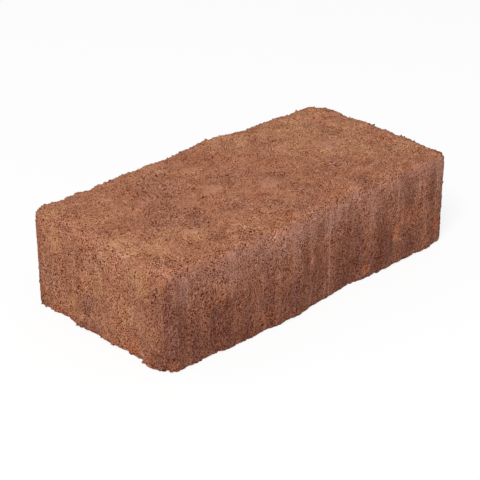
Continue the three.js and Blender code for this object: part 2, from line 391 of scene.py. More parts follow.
class StoneSkin:
    """A fine closed skin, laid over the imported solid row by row.

    The wall is a grid of stations round the stone and rows up its section. The wearing
    face is a grid that fills the wall's upper rim, and the bed fills its lower one.
    """

    EVENING_ROUNDS = 9
    SURE_ROWS = 3
    INSIDE_ONLY = 1
    MERGE_DISTANCE = 1e-7

    def __init__(self, solid: CastSolid, sizes: SkinSizes) -> None:
        """Lay the skin.

        Args:
            solid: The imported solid.
            sizes: The sizes that lay out the skin.
        """
        self._solid = solid
        self._sizes = sizes
        self.points = np.zeros((0, 3))
        self.faces: list[tuple[int, ...]] = []
        self.bed_start = 0
        self._stations = self._plan_stations()
        wall = self._lay_wall()
        self._lay_face(wall)
        self._even_out()
        self._lay_bed(wall[0])

    def _cells_on(self, side: Side) -> int:
        """Count the cells along one side."""
        return round(self._run(side) / self._sizes.cell)

    def _straight(self, side: Side) -> float:
        """The straight length of one side, between its corners."""
        span = self._sizes.length if side.is_long else self._sizes.width
        return span - 2 * self._sizes.corner_radius

    def _run(self, side: Side) -> float:
        """The outline's length from the middle of one corner to the next."""
        return self._straight(side) + self._sizes.corner_radius * math.pi / 2

    def _plan_stations(self) -> list[tuple[Side, float]]:
        """List the stations round the stone.

        Returns:
            For each station, its side and the share of that side's run.
        """
        return [
            (side, cell / self._cells_on(side))
            for side in Side
            for cell in range(self._cells_on(side))
        ]

    def _plan_point(self, station: tuple[Side, float], inset: float) -> tuple[Vector, Vector]:
        """Find a station's place in plan, on the outline drawn in by an inset.

        Args:
            station: The side, and the share of its run.
            inset: How far inside the overall outline the place is.

        Returns:
            The place at bed level, and the outward direction there.
        """
        side, share = station
        sizes = self._sizes
        arc = sizes.corner_radius * math.pi / 4
        travelled = share * self._run(side)
        straight = self._straight(side)
        on_straight = min(max(travelled - arc, 0.0), straight)
        turn = side.facing + (travelled - arc - on_straight) / sizes.corner_radius
        radius = max(sizes.corner_radius - inset, sizes.least_radius)
        half_length = sizes.length / 2 - inset - radius
        half_width = sizes.width / 2 - inset - radius
        reach, half_run = (half_width, half_length) if side.is_long else (half_length, half_width)
        along = half_run * (2 * on_straight / straight - 1)
        facing = Vector((math.cos(side.facing), math.sin(side.facing), 0.0))
        onward = Vector((-facing.y, facing.x, 0.0))
        outward = Vector((math.cos(turn), math.sin(turn), 0.0))
        return facing * reach + onward * along + outward * radius, outward

    def _set_back(self, station: tuple[Side, float], height: float) -> float:
        """Feel how far the solid's side stands back from the overall outline.

        Args:
            station: The side, and the share of its run.
            height: The height above the bed.

        Returns:
            The set-back.
        """
        place, outward = self._plan_point(station, 0.0)
        place.z = height
        return (place - self._solid.touch(place, -outward)).dot(outward)

    def _section(self) -> list[tuple[float, float, float]]:
        """Draw the plain section, from the bed to the rim.

        Returns:
            For each row, its inset from the side, its height, and the upward tilt of
            the surface there.
        """
        sizes = self._sizes
        side_top = sizes.height - sizes.upper_arris
        rows = []
        for step in range(self.SURE_ROWS):
            tilt = (step / self.SURE_ROWS - 1) * math.pi / 2
            inset = sizes.bed_arris * (1 - math.cos(tilt))
            rows.append((inset, sizes.bed_arris * (1 + math.sin(tilt)), tilt))
        side_rows = round((side_top - sizes.bed_arris) / sizes.cell)
        for step in range(side_rows):
            rise = (side_top - sizes.bed_arris) * step / side_rows
            rows.append((0.0, sizes.bed_arris + rise, 0.0))
        arris_rows = round(sizes.upper_arris * math.pi / 2 / sizes.cell)
        for step in range(arris_rows + 1):
            tilt = step / arris_rows * math.pi / 2
            inset = sizes.upper_arris * (1 - math.cos(tilt))
            rows.append((inset, side_top + sizes.upper_arris * math.sin(tilt), tilt))
        return rows

    def _lay_wall(self) -> np.ndarray:
        """Lay the wall over the solid's sides and arrises.

        Returns:
            The indices of the wall's points, by row and station.
        """
        sizes = self._sizes
        low, high = sizes.bed_arris, sizes.height - sizes.upper_arris * sizes.head_clearance
        section = self._section()
        count = len(self._stations)
        points = np.zeros((len(section), count, 3))
        for column, station in enumerate(self._stations):
            foot, head = self._set_back(station, low), self._set_back(station, high)
            for row, (inset, height, tilt) in enumerate(section):
                share = min(max((height - low) / (high - low), 0.0), 1.0)
                set_back = foot + (head - foot) * share
                place, outward = self._plan_point(station, inset + set_back)
                place.z = height
                inward = -(outward * math.cos(tilt) + Vector((0.0, 0.0, math.sin(tilt))))
                points[row, column] = self._solid.touch(place, inward)
        points[0, :, UP] = 0.0
        indices = np.arange(points.size // 3).reshape(len(section), count)
        self.points = points.reshape(-1, 3)
        following = np.roll(indices, -1, axis=1)
        quads = np.stack([indices[:-1], following[:-1], following[1:], indices[1:]], axis=-1)
        self.faces += [tuple(quad) for quad in quads.reshape(-1, 4)]
        return indices

    def _lay_face(self, wall: np.ndarray) -> None:
        """Fill the wall's upper rim with the wearing face.

        Args:
            wall: The indices of the wall's points, by row and station.
        """
        rim = wall[-1]
        long_cells, short_cells = self._cells_on(Side.FRONT), self._cells_on(Side.RIGHT)
        laps = [0, long_cells, long_cells + short_cells, 2 * long_cells + short_cells, len(rim)]
        front, right, back, left = (
            np.take(rim, np.arange(start, end + 1), mode="wrap")
            for start, end in zip(laps[:-1], laps[1:])
        )
        grid = np.zeros((short_cells + 1, long_cells + 1), int)
        grid[0], grid[-1] = front, back[::-1]
        grid[:, 0], grid[:, -1] = left[::-1], right
        across = np.linspace(0.0, 1.0, short_cells + 1)[:, None, None]
        along = np.linspace(0.0, 1.0, long_cells + 1)[None, :, None]
        edge = self.points[grid]
        blend = (
            edge[:1] * (1 - across) + edge[-1:] * across
            + edge[:, :1] * (1 - along) + edge[:, -1:] * along
            - edge[:1, :1] * (1 - across) * (1 - along) - edge[:1, -1:] * (1 - across) * along
            - edge[-1:, :1] * across * (1 - along) - edge[-1:, -1:] * across * along
        )
        inner = blend[1:-1, 1:-1].reshape(-1, 3)
        down = Vector((0.0, 0.0, -1.0))
        for point in inner:
            point[UP] = self._solid.touch(Vector(point), down).z
        grid[1:-1, 1:-1] = len(self.points) + np.arange(len(inner)).reshape(
            short_cells - 1, long_cells - 1
        )
        self.points = np.vstack([self.points, inner])
        quads = np.stack([grid[:-1, :-1], grid[:-1, 1:], grid[1:, 1:], grid[1:, :-1]], axis=-1)
        self.faces += [tuple(quad) for quad in quads.reshape(-1, 4)]

    def neighbour_mean(self, values: np.ndarray) -> np.ndarray:
        """Average a value over each point's neighbours along the skin.

        Args:
            values: One value for each point.

        Returns:
            The mean of each point's neighbours, or its own value where it has none.
        """
        starts, ends = self._links
        count = len(values)
        total = np.bincount(starts, values[ends], count) + np.bincount(ends, values[starts], count)
        shares = np.bincount(starts, minlength=count) + np.bincount(ends, minlength=count)
        return np.where(shares > 0, total / np.maximum(shares, 1), values)

    def _even_out(self) -> None:
        """Ease the solid's facets into smooth curves, and leave the foot where it is."""
        quads = np.array(self.faces)
        self._links = (quads.ravel(), np.roll(quads, -1, axis=1).ravel())
        held = len(self._stations) * (self.SURE_ROWS + 1)
        for _ in range(self.EVENING_ROUNDS):
            mean = np.stack([self.neighbour_mean(column) for column in self.points.T], axis=1)
            eased = (self.points + mean) / 2
            self.points[held:] = eased[held:]

    def _lay_bed(self, foot: np.ndarray) -> None:
        """Fill the foot of the wall with the flat bed.

        Args:
            foot: The indices of the wall's lowest row.
        """
        sizes = self._sizes
        ring = self.points[foot, :2]
        grid_x = np.arange(-sizes.length / 2, sizes.length / 2, sizes.bed_cell)
        grid_y = np.arange(-sizes.width / 2, sizes.width / 2, sizes.bed_cell)
        grid = np.stack(np.meshgrid(grid_x, grid_y), axis=-1).reshape(-1, 2)
        clear = np.array([np.linalg.norm(ring - spot, axis=1).min() for spot in grid])
        turning = np.array([self._winding(ring, spot) for spot in grid])
        kept = grid[(clear > sizes.bed_cell * sizes.bed_clearance) & turning]
        rim_edges = [(here, (here + 1) % len(foot)) for here in range(len(foot))]
        flat = [Vector(spot) for spot in np.vstack([ring, kept])]
        spots, _, faces, *_ = delaunay_2d_cdt(
            flat, rim_edges, [], self.INSIDE_ONLY, self.MERGE_DISTANCE
        )
        bed = np.array([(spot.x, spot.y, 0.0) for spot in spots[len(foot):]])
        first = len(self.points)
        self.bed_start = first
        self.points = np.vstack([self.points, bed])
        index = list(foot) + list(range(first, first + len(bed)))
        self.faces += [tuple(index[corner] for corner in reversed(face)) for face in faces]

    @staticmethod
    def _winding(ring: np.ndarray, spot: np.ndarray) -> bool:
        """Tell whether a spot lies inside a closed ring.

        Args:
            ring: The ring's points in plan, in order.
            spot: The spot in plan.

        Returns:
            Whether it is inside.
        """
        here, there = ring, np.roll(ring, -1, axis=0)
        crosses = (here[:, 1] > spot[1]) != (there[:, 1] > spot[1])
        rise = np.where(crosses, there[:, 1] - here[:, 1], 1.0)
        meets = here[:, 0] + (spot[1] - here[:, 1]) / rise * (there[:, 0] - here[:, 0])
        return bool(np.count_nonzero(crosses & (spot[0] < meets)) % 2)


@dataclass(frozen=True)
class Spot:
    """A round place on one face of the stone, in millimetres on that face.

    On the wearing face, across and up are the stone's own x and y. On the front they
    are x and z, and on the left end y and z. The cover is whole up to WHOLE of the
    radius, and gone at GONE of it.
    """

    across: float
    up: float
    radius: float
    strength: float = 1.0

    WHOLE = 0.35
    GONE = 1.25

    def cover(self, across: np.ndarray, up: np.ndarray) -> np.ndarray:
        """Find the cover of each place, from 0 outside to the spot's strength."""
        away = np.hypot(across / MM - self.across, up / MM - self.up)
        return self.strength * fading_share(away, self.radius * self.WHOLE, self.radius * self.GONE)


@dataclass(frozen=True)
class Streak:
    """An upright band on the front, in millimetres, between two heights.

    The cover is whole up to CORE of the width from the band's middle. It fades out over
    as much as FOOT_FADE and HEAD_FADE on each side of the two heights.
    """

    across: float
    width: float
    strength: float
    foot: float = 0.0
    head: float = 52.0

    CORE = 0.2
    FOOT_FADE = 3.0
    HEAD_FADE = 4.0

    def cover(self, across: np.ndarray, up: np.ndarray) -> np.ndarray:
        """Find how far the band covers each place.

        Args:
            across: The places' x, in metres.
            up: The places' z, in metres.

        Returns:
            The cover, from 0 outside to the band's strength in its middle.
        """
        away = np.abs(across / MM - self.across)
        side = fading_share(away, self.width * self.CORE, self.width)
        height = up / MM
        ends = smooth_share(height, self.foot - self.FOOT_FADE, self.foot + self.FOOT_FADE)
        ends *= fading_share(height, self.head - self.HEAD_FADE, self.head + self.HEAD_FADE)
        return self.strength * side * ends


def cover_of(
    places: tuple[Spot | Streak, ...], across: np.ndarray, up: np.ndarray
) -> np.ndarray:
    """Join the cover of several spots or bands.

    Args:
        places: The spots or bands.
        across: The places' first coordinates, in metres.
        up: The places' second coordinates, in metres.

    Returns:
        The strongest cover at each place.
    """
    cover = np.zeros(len(across))
    for place in places:
        cover = np.maximum(cover, place.cover(across, up))
    return cover


def placed(kind: type[Spot | Streak], *rows: tuple[float, ...]) -> tuple[Spot | Streak, ...]:
    """Place several spots or bands, each given by a row of its own sizes in their order."""
    return tuple(kind(*row) for row in rows)


TORN_PATCHES = placed(
    Spot,
    (-45, 21, 9, 0.8), (-65, -8, 8, 0.8), (14, -7, 5, 1.0), (-26, -20, 7, 0.9), (38, -41, 8, 0.9),
    (-42, -40, 8, 0.7), (-9, -37, 5, 0.8), (-92, -36, 6, 0.9), (-6, -46, 6, 0.8), (73, 12, 7, 0.8),
    (-40, 36, 6, 0.8), (-26, 35, 6, 0.7), (3, -18, 5, 0.7), (38, 28, 5, 0.6), (12, -30, 8, 0.7),
    (17, 33, 6, 0.6), (-29, 10, 3, 0.8), (48, -14, 7, 0.5), (60, -30, 7, 0.5), (-90, 30, 7, 0.6),
)
SMOOTH_PATCHES = placed(
    Spot,
    (-24, 3, 7), (-41, -1, 5), (0, -12, 6), (-37, -27, 8, 0.8), (-62, -24, 5), (-85, -12, 7, 0.6),
    (-77, -33, 6, 0.8), (-57, 13, 4), (29, -46, 6, 0.5), (-14, -46, 7, 0.5), (58, 2, 12, 0.6),
    (18, 45, 9, 0.7), (84, 20, 8, 0.6), (44, 34, 7, 0.7), (-46, -37, 5), (-15, 28, 5),
    (36, 12, 7, 0.7),
)
TAN_ON_FACE = placed(
    Spot,
    (-92, -14, 14, 0.8), (-76, -22, 12, 0.7), (-62, -26, 8, 0.8), (58, 4, 20, 0.8),
    (80, 10, 13, 0.9), (-24, 3, 6, 0.5), (-38, -30, 9, 0.6), (29, -47, 6, 0.1), (24, 42, 16, 0.9),
    (62, 34, 18, 0.9), (-82, 20, 12, 0.5), (85, -26, 10, 0.8), (38, 12, 12, 0.6),
    (-92, 42, 10, 0.9), (66, -16, 10, 0.6), (-15, 28, 7, 0.6), (2, -12, 7, 0.3),
    (-88, -34, 8, 0.4), (-30, 42, 14, 0.5), (86, 36, 10, 0.7),
)
DARK_ON_FACE = placed(
    Spot,
    (-54, 2, 16, 0.6), (-42, 22, 14, 0.6), (38, -41, 8, 1.0), (74, 12, 7, 0.8), (14, -7, 6, 0.9),
    (-26, -19, 7, 0.9), (-50, -14, 9, 1.0), (12, -29, 9, 0.8), (-7, -40, 8, 0.8),
    (-50, 20, 8, 0.6), (-57, -36, 7, 0.6), (-4, 8, 14, 0.4), (46, -18, 8, 0.6), (18, 33, 7, 0.7),
    (-66, -9, 7, 0.8), (26, -22, 12, 0.2), (82, -24, 5, 0.7), (-91, 2, 5, 0.5), (70, 28, 5, 0.6),
    (60, -34, 8, 0.4), (-88, -40, 8, 0.5), (80, -42, 8, 0.4), (-12, -30, 6, 0.5),
    (-32, 34, 7, 0.4),
)
TAN_ON_LEFT = placed(
    Spot,
    (31, 43, 8, 1.0), (-8, 44, 6, 0.3), (-32, 42, 8, 1.0), (16, 10, 9, 0.9), (6, 14, 5, 0.4),
    (-2, 48, 5, 0.3), (-20, 20, 7, 0.7), (-1, 30, 7, 0.8),
)
TAN_ON_FRONT = placed(
    Spot,
    (-62, 33, 6, 0.4), (-18, 32, 6, 0.4), (-83, 40, 6, 0.3), (56, 15, 2.5, 1.0), (20, 46, 7, 0.6),
)
# Dark spots on the left end. The one at 7 across and 4 up is painted shade of a hollow near the
# foot; the others are dark patches.
DARK_ON_LEFT = placed(
    Spot,
    (43, 20, 10, 0.8), (42, 36, 6, 0.6), (26, 25, 5, 0.6), (11, 38, 6, 0.8), (9, 15, 7, 1.5),
    (-11, 33, 5, 0.2), (-9, 16, 5, 0.2), (7, 4, 8, 1.15), (-43, 5, 8, 0.9), (27, 50, 5, 0.4),
    (-12, 5, 6, 0.5), (45, 4, 8, 0.8),
)
RUST_ON_FRONT = placed(
    Spot,
    (56.5, 17, 2.8, 1.3), (57.5, 21, 3.2, 1.0), (59.5, 25.5, 3.3, 0.85), (63, 28, 3.8, 0.75),
    (69, 25, 8, 0.55), (35, 6, 3.2, 0.85), (-95, 3, 2.6, 0.45), (-47, 18, 8, 0.3),
    (-12, 15, 3, 0.4), (90, 12, 6, 0.7), (82, 10, 9, 0.4), (-35, 22, 5, 0.2), (-78, 38, 5, 0.3),
    (-64, 34, 4, 0.4), (-40, 8, 6, 0.5), (-34, 10, 5, 0.5),
)
RUST_ON_LEFT = placed(
    Spot,
    (-25, 6, 2.2, 0.9), (-13, 3, 4, 0.3), (3, 11, 5, 0.3), (30, 2, 4, 0.35), (45, 10, 5, 0.4),
    (-38, 3, 5, 0.3), (28, 26, 5, 0.5), (10, 46, 5, 0.3), (7, 4, 4, 0.5), (-21, 2, 3, 0.4),
    (-4, 2, 3, 0.4), (10, 16, 5, 0.7),
)
# Dark upright bands on the front. The two at 66 and 84 across that run up to the arris are painted
# shade under the arris; the others are dark streaks in the concrete.
BLOOM_AND_SHADE_BANDS = placed(
    Streak,
    (-67, 9, 1.4, 3, 28), (-66, 6, 0.4, 26, 48), (-82, 5, 0.5, 4, 26), (-50, 5, 0.65, 3, 30),
    (-35.5, 5, 1.0, 1, 42), (-20, 9, 0.4, 0, 22), (-1.5, 4, 0.7, 0, 42), (12.5, 4, 0.4, 0, 40),
    (28, 6, 0.9, 10, 43), (22, 9, 0.4, 0, 40), (46, 8, 0.7, 2, 42), (66, 8, 1.2, 25, 48),
    (67, 6, 0.7, 5, 14), (84, 5, 1.2, 29, 44), (53, 4, 0.5, 2, 16), (-94, 9, 1.1, 10, 54),
    (37, 4, 0.4, 2, 14), (-15, 3, 0.3, 30, 46),
)
BARE_BANDS = placed(
    Streak,
    (-88, 3, 0.3, 10, 50), (-60, 3, 0.4, 22, 40), (-41.5, 1.8, 0.5, 24, 44), (-8, 1.2, 1.0, 2, 44),
    (6.8, 1.7, 1.0, 20, 50), (6.8, 0.9, 1.6, 1, 32), (37.8, 3.0, 1.0, 26, 50),
    (57.5, 1.6, 0.8, 28, 46), (91, 4, 0.8), (78, 5, 0.4, 6, 26), (19, 4, 0.4, 14, 26),
)


@dataclass(frozen=True)
class ReliefSizes:
    """Depths, rises and heights of the relief that is worked into the skin."""

    rib_depth: float = 0.34 * MM
    scratch_depth: float = 0.22 * MM
    stone_depth: float = 0.36 * MM
    stone: float = 3.3 * MM
    sand_depth: float = 0.30 * MM
    sand: float = 1.8 * MM
    sand_shift: float = 1.0
    grit_depth: float = 0.11 * MM
    lump_depth: float = 0.45 * MM
    knock_depth: float = 0.40 * MM
    torn_depth: float = 0.9 * MM
    pore_depth: float = 0.6 * MM
    chip_depth: float = 2.6 * MM
    chip_height: float = 3.5 * MM
    foot_height: float = 1.5 * MM
    proud_rise: float = 0.60 * MM
    stand_out: float = 0.40 * MM
    pad_rise: float = 0.25 * MM
    crumb_rise: float = 1.1 * MM
    spike_rise: float = 0.38 * MM
    burr_rise: float = 1.35 * MM
    # How far below its neighbours a point lies for the whole painted shade of the hollows.
    hollow_shade: float = 0.22 * MM
    stray: float = 4.5 * MM
    bend: float = 1.2 * MM


@dataclass(frozen=True)
class Zones:
    """Where smoothness and colour change, each as the place where it starts and ends.

    All are heights above the bed, but for the near corner's, which is a place along Y.
    """

    low: Span = (4 * MM, 52 * MM)
    low_left: Span = (0.0, 26 * MM)
    near_corner: Span = (-54 * MM, -28 * MM)
    corner_head: Span = (34 * MM, 54 * MM)
    left_foot: Span = (1 * MM, 8 * MM)
    rusty_foot: Span = (2 * MM, 10 * MM)
    pasty_front: Span = (22 * MM, 44 * MM)
    smooth_front: Span = (34 * MM, 44 * MM)
    fainter_draw: Span = (36 * MM, 50 * MM)


@dataclass(frozen=True)
class ReliefShares:
    """How strongly the relief is worked on each part of the stone."""

    draw_on_ends: float = 0.55
    draw_added_on_long_sides: float = 0.45
    draw_lost_at_head: float = 0.6
    loose: float = 0.65
    loose_wander: float = 0.7
    loose_least: float = 0.25
    loose_most: float = 1.3
    crumbs_in_front: float = 0.3
    crumbs_added_far: float = 0.7
    spike_limit: float = 1.5
    torn_areas: float = 0.38
    torn_sides: float = 0.22
    torn_spares_smooth: float = 0.6
    torn_edge: float = 0.62
    torn_edge_drop: float = 0.55
    torn_slope: float = 0.35
    fine_pore: float = 0.7
    smooth_fills: float = 0.8
    front_keeps_foot: float = 0.85
    front_sheds_crumbs: float = 0.8


@dataclass(frozen=True)
class SmoothShares:
    """How strongly each cause smooths the skin."""

    ragged: float = 0.9
    by_chance: float = 0.7
    upper_front: float = 0.45
    bare_band: float = 0.5
    pale_left: float = 0.5
    worn: float = 0.2
    worn_wander: float = 0.9


@dataclass(frozen=True)
class ColourShares:
    """How strongly each cause adds to a mark, or spares the skin from it."""

    # The front is darkened towards the bottom.
    darker_low_front: float = 0.66
    # Dark bands on the front, two of them painted shade under the arris.
    dark_band_and_shade: float = 0.40
    bloom_wander: float = 0.08
    bloom_bare: float = 0.30
    bloom_hidden: float = 0.25
    bloom_hidden_wander: float = 0.6
    bloom_hidden_head: float = 0.4
    bloom_left: float = 0.47
    bloom_low_left: float = 0.08
    # The left end is darkened towards its near corner, less so towards the top.
    darker_near_corner: float = 0.96
    darker_corner_lost_at_head: float = 0.6
    # Painted shade at the left end's foot.
    left_foot_shade: float = 0.30
    bloom_face: float = 0.41
    # Painted shade on the upper arris.
    worn_arris_shade: float = 0.27
    rust_foot: float = 0.20
    rust_foot_wander: float = 0.30
    rust_spares_front: float = 0.5
    rust_low_left: float = 0.22
    rust_spares_dark: float = 0.5
    tan_spares_smooth: float = 0.8
    tan_hidden: float = 0.5
    tan_off_front: float = 0.25
    paste_front: float = 0.62
    paste_bare: float = 0.60
    paste_worn: float = 0.20
    paste_smooth: float = 0.50
    open_left: float = 0.6
    open_wander: float = 1.2
    open_least: float = 0.25


class SkinPlaces:
    """The skin's points, and how far each is on each part of the stone, from 0 to 1.

    Attributes:
        points: The points, one a row.
        normals: Their outward directions.
        z: Their heights above the bed.
        away: How far each outward direction points to the back or to the right.
        face: The share of the wearing face.
        side: The share of the sides and of the bed.
        frontward: How far each point faces the front.
        front: The share of the front.
        left: The share of the left end.
        hidden: The share of the back and of the right end.
        worn: The share of the upper arris that is worn.
    """

    def __init__(self, points: np.ndarray, normals: np.ndarray) -> None:
        """Measure the skin.

        Args:
            points: The points, one a row.
            normals: Their outward directions.
        """
        self.points, self.normals, self.z = points, normals, points[:, UP]
        self.away = np.maximum(normals[:, 0], normals[:, 1])
        self.face = smooth_share(normals[:, UP], 0.25, 0.9)
        self.side = 1.0 - self.face
        self.frontward = smooth_share(-normals[:, 1], 0.35, 0.8)
        self.front = self.side * self.frontward
        self.left = self.side * smooth_share(-normals[:, 0], 0.45, 0.85)
        self.hidden = self.side * smooth_share(self.away, 0.35, 0.8)
        self.worn = self.rounding(0.1)

    def rounding(self, start: float) -> np.ndarray:
        """Find the rounding of the upper arris, from a given upward tilt on."""
        up = self.normals[:, UP]
        return smooth_share(up, start, 0.5) * fading_share(up, 0.8, 1.0)


class StoneRelief:
    """Works the cast concrete's relief into a skin, and notes where each mark is.

    What is found along the way is a share from 0 to 1, or a depth below the skin.
    """

    SEED = 20
    ZONES = Zones()
    SHARE = ReliefShares()
    SMOOTH = SmoothShares()
    COLOUR = ColourShares()
    HOLLOW_SHADE_LIMITS = (-1.0, 1.5)

    def __init__(self, skin: StoneSkin, normals: np.ndarray, sizes: ReliefSizes) -> None:
        """Measure the skin.

        Args:
            skin: The skin that the relief is worked into.
            normals: The skin's outward directions, one a point.
            sizes: The relief's depths, rises and heights.
        """
        self._skin = skin
        self._sizes = sizes
        self._at = SkinPlaces(skin.points, normals)
        self._noise = Unevenness(self.SEED, skin.points)
        shifts = [self._noise.waves(kind) for kind in (Waves.STRAY_X, Waves.STRAY_Y, Waves.STRAY_Z)]
        self._strayed = (skin.points + np.stack(shifts, axis=1) * sizes.stray).T
        self._smooth = self._find_smooth()
        self.marks: dict[Mark, np.ndarray] = {}

    def work(self) -> np.ndarray:
        """Work the relief into the skin, and note the marks.

        Returns:
            The points of the finished skin.
        """
        sizes, at = self._sizes, self._at
        unfilled = 1.0 - self.SHARE.smooth_fills * self._smooth
        proud = self._noise.pits(Pits.PROUD_GRAINS)
        sunk = at.side * self._draw_marks()
        sunk += at.face * self._noise.waves(Waves.LUMPS) * sizes.lump_depth
        sunk += self._grain() * unfilled
        sunk += self._torn() * sizes.torn_depth
        sunk += self._pores() * unfilled * sizes.pore_depth
        sunk -= proud * (1.0 - self._smooth) * sizes.proud_rise
        sunk -= self._smooth * at.face * sizes.pad_rise
        sunk += self._arris_relief()
        sunk -= sizes.stand_out
        sunk *= smooth_share(at.z, -sizes.foot_height, sizes.foot_height)
        moved = at.points - at.normals * sunk[:, None] - self._chips()
        moved[:, UP] = np.where(at.z > 0.0, np.clip(moved[:, UP], 0.0, None), 0.0)
        moved[self._skin.bed_start:] = at.points[self._skin.bed_start:]
        even = self._skin.neighbour_mean(self._skin.neighbour_mean(sunk))
        # Painted shade: darkens the skin where it is sunk below the mean of its neighbours.
        self.marks[Mark.HOLLOW] = np.clip((sunk - even) / sizes.hollow_shade, *self.HOLLOW_SHADE_LIMITS)
        self.marks[Mark.SIDE] = at.side
        self.marks[Mark.SMOOTH] = self._smooth
        self._note_colours()
        return moved

    def _find_smooth(self) -> np.ndarray:
        """Find where the skin is trowelled, drawn or worn smooth.

        Returns:
            The share of smoothness.
        """
        at, share = self._at, self.SMOOTH
        x, y, z = self._strayed
        trowelled = cover_of(SMOOTH_PATCHES, x, y)
        ragged = share.ragged * self._noise.waves(Waves.RAGGED_PADS) * (trowelled > 0.0)
        chance = smooth_share(self._noise.waves(Waves.CHANCE_PADS), 0.30, 0.75)
        drawn = share.upper_front * smooth_share(at.z, *self.ZONES.smooth_front)
        drawn += share.bare_band * cover_of(BARE_BANDS, at.points[:, 0], at.z)
        worn = share.worn + share.worn_wander * self._noise.waves(Waves.WORN_ARRIS)
        trowelled = smooth_share(trowelled + ragged, 0.35, 0.85)
        pads = np.maximum(trowelled, share.by_chance * chance)
        pale = share.pale_left * at.left * cover_of(TAN_ON_LEFT, y, z)
        sides = at.side * share.by_chance * chance + at.front * drawn + at.worn * worn + pale
        return np.clip(at.face * pads + sides, 0.0, 1.0)

    def _grain(self) -> np.ndarray:
        """Find the stones and sand bound in the skin.

        Returns:
            Their depth.
        """
        sizes, share = self._sizes, self.SHARE
        loose = share.loose + share.loose_wander * self._noise.waves(Waves.LOOSE_SAND)
        stones = self._noise.grains(0.0, sizes.stone) * sizes.stone_depth
        sand = self._noise.grains(sizes.sand_shift, sizes.sand) * sizes.sand_depth
        grit = self._noise.specks(0) * sizes.grit_depth
        return (stones + sand + grit) * np.clip(loose, share.loose_least, share.loose_most)

    def _draw_marks(self) -> np.ndarray:
        """Find the upright marks that the mould left, strongest low on the long sides.

        Returns:
            Their depth.
        """
        sizes, at, share = self._sizes, self._at, self.SHARE
        long_side = smooth_share(np.abs(at.normals[:, 1]), 0.3, 0.8)
        strong = share.draw_on_ends + share.draw_added_on_long_sides * long_side
        strong *= 1.0 - share.draw_lost_at_head * smooth_share(at.z, *self.ZONES.fainter_draw)
        ribs = self._noise.waves(Waves.RIBS) * sizes.rib_depth
        return (ribs + self._noise.waves(Waves.SCRATCHES) * sizes.scratch_depth) * strong

    def _arris_relief(self) -> np.ndarray:
        """Find the knocks and crumbs of the upper arris, with fewer crumbs in front.

        Returns:
            Their depth, below 0 where they stand proud.
        """
        sizes, share = self._sizes, self.SHARE
        knocks = self._noise.waves(Waves.KNOCKS) * sizes.knock_depth
        spikes = np.clip(self._noise.specks(1), -share.spike_limit, share.spike_limit)
        sharp = self._noise.pits(Pits.ARRIS_CRUMBS) * sizes.crumb_rise + spikes * sizes.spike_rise
        far = smooth_share(self._at.away, 0.1, 0.4)
        far = share.crumbs_in_front + share.crumbs_added_far * far
        return self._at.rounding(0.05) * (knocks - far * sharp)

    def _torn(self) -> np.ndarray:
        """Find where grains are torn out.

        Returns:
            The share of the full depth.
        """
        at, share = self._at, self.SHARE
        x, y, _ = self._strayed
        rough = cover_of(TORN_PATCHES, x, y) * at.face
        areas = smooth_share(self._noise.waves(Waves.ROUGH_AREAS), -0.2, 0.7)
        rough += share.torn_areas * areas * at.face + at.side * share.torn_sides
        rough = np.clip(rough - self._smooth * share.torn_spares_smooth, 0.0, 1.0)
        edge = share.torn_edge - share.torn_edge_drop * rough
        return smooth_share(self._noise.waves(Waves.TEARS), edge, edge + share.torn_slope)

    def _pores(self) -> np.ndarray:
        """Find the air pores, as a share of their full depth."""
        fine = self.SHARE.fine_pore * self._noise.pits(Pits.FINE_PORES)
        return np.maximum(self._noise.pits(Pits.COARSE_PORES), fine)

    def _chips(self) -> np.ndarray:
        """Find the chips and crumbs of the foot, which the front has few of.

        Returns:
            How far each point moves inward, as level steps along X, Y and Z.
        """
        sizes, at = self._sizes, self._at
        low = fading_share(at.z, sizes.chip_height / 5, sizes.chip_height)
        level = at.normals * np.array([1.0, 1.0, 0.0])
        level /= np.maximum(np.linalg.norm(level, axis=1, keepdims=True), 0.2)
        broken = smooth_share(self._noise.waves(Waves.BROKEN_FOOT), 0.0, 0.25)
        moved = broken * sizes.chip_depth * (1.0 - self.SHARE.front_keeps_foot * at.frontward)
        crumbs = self._noise.pits(Pits.FOOT_CRUMBS)
        moved -= crumbs * sizes.burr_rise * (1.0 - self.SHARE.front_sheds_crumbs * at.frontward)
        return level * (low * moved)[:, None]

    def _note_colours(self) -> None:
        """Note where the concrete is darkened by pigment and painted shade, rusty, tan, pasty or
        open.
        """
        at, share, zones = self._at, self.COLOUR, self.ZONES
        x, y, z = at.points.T
        stray_x, stray_y, stray_z = self._strayed
        wander = self._noise.waves(Waves.WANDER)
        bent = x + self._sizes.bend * self._noise.waves(Waves.BENT_BANDS)
        bare = cover_of(BARE_BANDS, bent, z)
        dark_left = cover_of(DARK_ON_LEFT, stray_y, stray_z)
        dark_face = cover_of(DARK_ON_FACE, stray_x, stray_y)
        low_left = fading_share(z, *zones.low_left)

        low = fading_share(z, *zones.low)
        # The front is darker towards the bottom, and in dark bands, two of which are painted shade
        # under the arris.
        streaked = share.darker_low_front * low + share.dark_band_and_shade * cover_of(BLOOM_AND_SHADE_BANDS, bent, z)
        streaked += share.bloom_wander * wander - share.bloom_bare * bare
        bloom_and_shade = at.front * np.clip(streaked, 0.0, 1.0)
        clouded = share.bloom_hidden + share.bloom_hidden_wander * wander
        clouded *= share.bloom_hidden_head + (1.0 - share.bloom_hidden_head) * low
        bloom_and_shade += at.hidden * np.clip(clouded, 0.0, 1.0)
        bloom_and_shade += at.left * (share.bloom_left * dark_left + share.bloom_low_left * low_left)
        # The left end is darker towards its near corner, less so towards the top.
        corner = fading_share(y, *zones.near_corner)
        corner *= 1.0 - share.darker_corner_lost_at_head * smooth_share(z, *zones.corner_head)
        bloom_and_shade += at.left * share.darker_near_corner * corner
